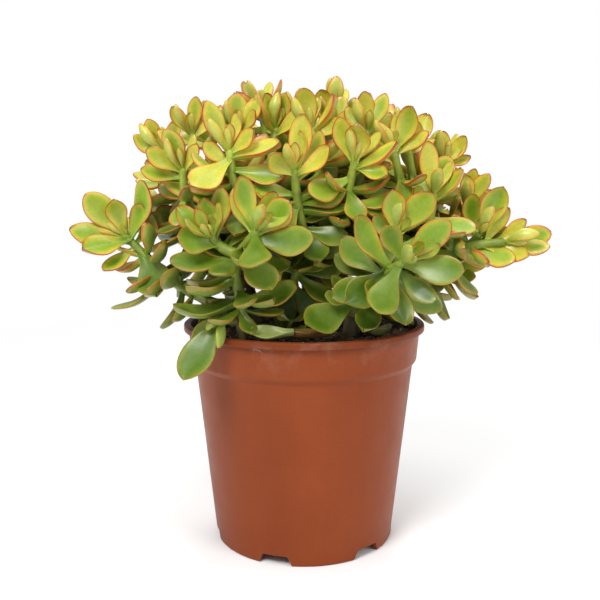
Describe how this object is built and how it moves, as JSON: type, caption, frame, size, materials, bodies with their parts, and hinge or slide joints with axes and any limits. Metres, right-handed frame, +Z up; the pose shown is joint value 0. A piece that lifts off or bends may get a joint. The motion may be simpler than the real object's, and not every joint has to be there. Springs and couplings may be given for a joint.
{
  "type": "potted jade plant",
  "caption": "Succulent shrub of thick rounded leaf pairs on branching stems, growing in a tapered round nursery pot with a raised rim band and notched foot.",
  "frame": {"origin": "centre of the bounding box at the level of the pot's feet, within 3 mm of the pot's own axis, which is the Z axis", "axes": "+Z up along the pot's axis, -Y the front that the crown's side stems and the leaf over the rim face, +X to the viewer's right"},
  "size_m": [0.3155, 0.2341, 0.3243],
  "materials": {
    "pot": "satin",
    "soil": "matte",
    "bark": "matte",
    "leaf_low": "gloss",
    "leaf_mid": "satin",
    "leaf_top": "satin",
    "old_leaf": "satin"
  },
  "bodies": {
    "root": {"fallen_leaf_olive": "old_leaf", "fallen_leaf_pale": "old_leaf", "fallen_leaf_red": "old_leaf", "pot": "pot", "seedling": "leaf_low", "shoot_back_1_1": "leaf_top", "shoot_back_1_2": "leaf_top", "shoot_back_1_3": "leaf_top", "shoot_back_2_1": "leaf_top", "shoot_back_2_2": "leaf_top", "shoot_back_2_3": "leaf_top", "shoot_back_2_4": "leaf_top", "shoot_back_2_5": "leaf_top", "shoot_back_3_1": "leaf_top", "shoot_back_3_3": "leaf_top", "shoot_back_3_4": "leaf_top", "shoot_back_3_6": "leaf_top", "shoot_back_4_1": "leaf_mid", "shoot_back_4_3": "leaf_mid", "shoot_back_4_4": "leaf_mid", "shoot_back_4_5": "leaf_mid", "shoot_back_4_6": "leaf_mid", "shoot_centre_dark": "leaf_low", "shoot_centre_front": "leaf_top", "shoot_centre_low": "leaf_low", "shoot_centre_right": "leaf_top", "shoot_far_right": "leaf_mid", "shoot_front_left": "leaf_low", "shoot_front_right": "leaf_mid", "shoot_left_of_front": "leaf_mid", "shoot_left_outer": "leaf_mid", "shoot_left_top": "leaf_top", "shoot_over_rim": "leaf_low", "shoot_right_crown": "leaf_top", "shoot_right_front": "leaf_top", "shoot_right_low": "leaf_mid", "shoot_right_of_front": "leaf_mid", "shoot_right_outer": "leaf_mid", "shoot_right_top": "leaf_mid", "shoot_top_centre": "leaf_top", "shoot_top_centre_left": "leaf_top", "shoot_top_left": "leaf_top", "shoot_top_left_inner": "leaf_top", "shoot_top_peak": "leaf_top", "shoot_top_right": "leaf_top", "shoot_top_right_inner": "leaf_top", "shoot_top_right_outer": "leaf_top", "shoot_upper_left": "leaf_top", "shoot_upper_left_front": "leaf_top", "soil": "soil", "trunk_back": "bark", "trunk_back_left": "bark", "trunk_back_right": "bark", "trunk_centre": "bark", "trunk_centre_left": "bark", "trunk_left": "bark", "trunk_right": "bark", "trunk_right_back": "bark"}
  },
  "joints": []
}
